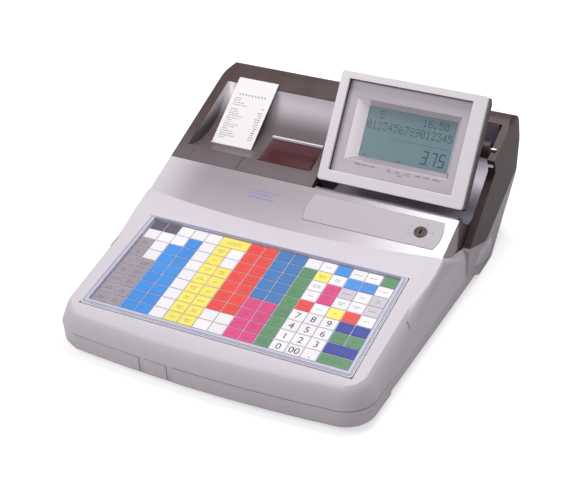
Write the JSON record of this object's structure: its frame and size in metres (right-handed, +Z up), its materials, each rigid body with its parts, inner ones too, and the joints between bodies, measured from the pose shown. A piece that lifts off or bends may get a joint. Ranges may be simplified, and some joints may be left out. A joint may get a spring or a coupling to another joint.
{
  "type": "cash register",
  "caption": "Counter-top cash register with a flat colour-coded keyboard, a lift-up printer cover with a paper chute and a journal window, a mode lock and a tilting operator display.",
  "frame": {"origin": "on the counter, under the middle of the machine's plan", "axes": "+X to the operator's right, +Y from the front wall to the back, +Z up"},
  "size_m": [0.416, 0.5204, 0.2439],
  "materials": {
    "pale_case": "fine moulded texture, satin",
    "front_panel": "fine moulded texture, satin",
    "dark_housing": "satin dark brown-grey paint",
    "silver_trim": "satin silver paint",
    "display_silver": "satin silver paint",
    "display_panel": "satin silver paint",
    "inner_grey": "moulded",
    "dark_plastic": "moulded",
    "white_plastic": "moulded",
    "rubber": "matt",
    "steel": "plain sheet",
    "lock_metal": "dark plated",
    "aluminium": "plain",
    "clear_frame": "clear blue-grey frame",
    "key_sheet": "printed sheet",
    "key_white": "printed under a clear film",
    "key_light_blue": "printed under a clear film",
    "key_dark_blue": "printed under a clear film",
    "key_yellow": "printed under a clear film",
    "key_red": "printed under a clear film",
    "key_pink": "printed under a clear film",
    "key_green": "printed under a clear film",
    "key_grey": "printed under a clear film",
    "key_light_grey": "printed under a clear film",
    "key_dark_grey": "printed under a clear film",
    "key_navy": "printed under a clear film",
    "smoked_window": "smoked",
    "lcd": "liquid crystal screen",
    "paper": "plain",
    "board": "circuit board"
  },
  "bodies": {
    "chassis": {"bottom_case": "pale_case", "top_case": "pale_case", "front_left_door": "front_panel", "front_centre_cover": "front_panel", "front_right_cover": "front_panel", "rubber_feet": "rubber", "case_screws": "steel", "keyboard_frame": "clear_frame", "keyboard_sheet": "key_sheet", "white_keys": "key_white", "light_blue_keys": "key_light_blue", "dark_blue_keys": "key_dark_blue", "yellow_keys": "key_yellow", "red_keys": "key_red", "pink_keys": "key_pink", "green_keys": "key_green", "grey_keys": "key_grey", "light_grey_keys": "key_light_grey", "dark_grey_keys": "key_dark_grey", "navy_keys": "key_navy", "keyboard_backplate": "steel", "front_fascia": "silver_trim", "mode_panel": "silver_trim", "lock_barrel": "dark_plastic", "rear_case": "dark_housing", "display_cradle": "inner_grey", "connector_panel": "inner_grey", "cord_gland": "dark_plastic", "customer_window": "smoked_window", "customer_board": "board", "cover_hinge_pins": "steel", "printer_frame": "steel", "receipt_motor": "steel", "journal_motor": "steel", "thermal_heads": "aluminium", "journal_paper": "paper", "receipt_web": "paper", "paper_bin": "inner_grey", "roll_spindle": "steel", "display_shaft": "steel", "main_board": "board", "power_supply": "steel"},
    "cover": {"printer_cover": "dark_housing", "journal_window": "smoked_window", "tear_bar": "steel", "receipt_strip": "paper"},
    "display": {"display_bezel": "display_silver", "display_mask": "display_panel", "lcd_panel": "lcd", "display_back": "dark_housing", "display_board": "board"},
    "lock": {"lock_rotor": "lock_metal"},
    "receipt_platen": {"receipt_platen": "rubber"},
    "journal_platen": {"journal_platen": "rubber"},
    "receipt_pinion": {"receipt_pinion": "white_plastic"},
    "journal_pinion": {"journal_pinion": "white_plastic"},
    "take_up_spool": {"take_up_spool": "white_plastic"},
    "receipt_roll": {"receipt_roll": "paper"},
    "journal_roll": {"journal_roll": "paper"}
  },
  "joints": [
    {"name": "cover_open", "type": "hinge", "parent": "chassis", "child": "cover", "pos_m": [-0.096, 0.23793, 0.13809], "axis": [-1, 0, 0], "range_deg": [0, 70]},
    {"name": "display_tilt", "type": "hinge", "parent": "chassis", "child": "display", "pos_m": [0.102, 0.14637, 0.15909], "axis": [-1, 0, 0], "range_deg": [-6, 24]},
    {"name": "mode_lock_turn", "type": "hinge", "parent": "chassis", "child": "lock", "pos_m": [0.158, 0.00813, 0.10643], "axis": [0, -0.3633, 0.9317], "range_deg": [-60, 90]},
    {"name": "receipt_feed", "type": "hinge", "parent": "chassis", "child": "receipt_platen", "pos_m": [0, 0.09122, 0.0855], "axis": [1, 0, 0], "continuous": true},
    {"name": "journal_feed", "type": "hinge", "parent": "chassis", "child": "journal_platen", "pos_m": [0, 0.09122, 0.0855], "axis": [1, 0, 0], "continuous": true},
    {"name": "receipt_pinion_spin", "type": "hinge", "parent": "chassis", "child": "receipt_pinion", "pos_m": [0, 0.0786, 0.06748], "axis": [1, 0, 0], "continuous": true},
    {"name": "journal_pinion_spin", "type": "hinge", "parent": "chassis", "child": "journal_pinion", "pos_m": [0, 0.0786, 0.06748], "axis": [1, 0, 0], "continuous": true},
    {"name": "take_up_spin", "type": "hinge", "parent": "chassis", "child": "take_up_spool", "pos_m": [0, 0.06122, 0.0825], "axis": [1, 0, 0], "continuous": true},
    {"name": "receipt_roll_spin", "type": "hinge", "parent": "chassis", "child": "receipt_roll", "pos_m": [0, 0.15222, 0.083], "axis": [1, 0, 0], "continuous": true},
    {"name": "journal_roll_spin", "type": "hinge", "parent": "chassis", "child": "journal_roll", "pos_m": [0, 0.15222, 0.083], "axis": [1, 0, 0], "continuous": true}
  ],
  "couplings": [
    {"joint": "receipt_pinion_spin", "follows": "receipt_feed", "ratio": -2.1429},
    {"joint": "journal_pinion_spin", "follows": "journal_feed", "ratio": -2.1429},
    {"joint": "take_up_spin", "follows": "journal_feed", "ratio": 0.875}
  ]
}
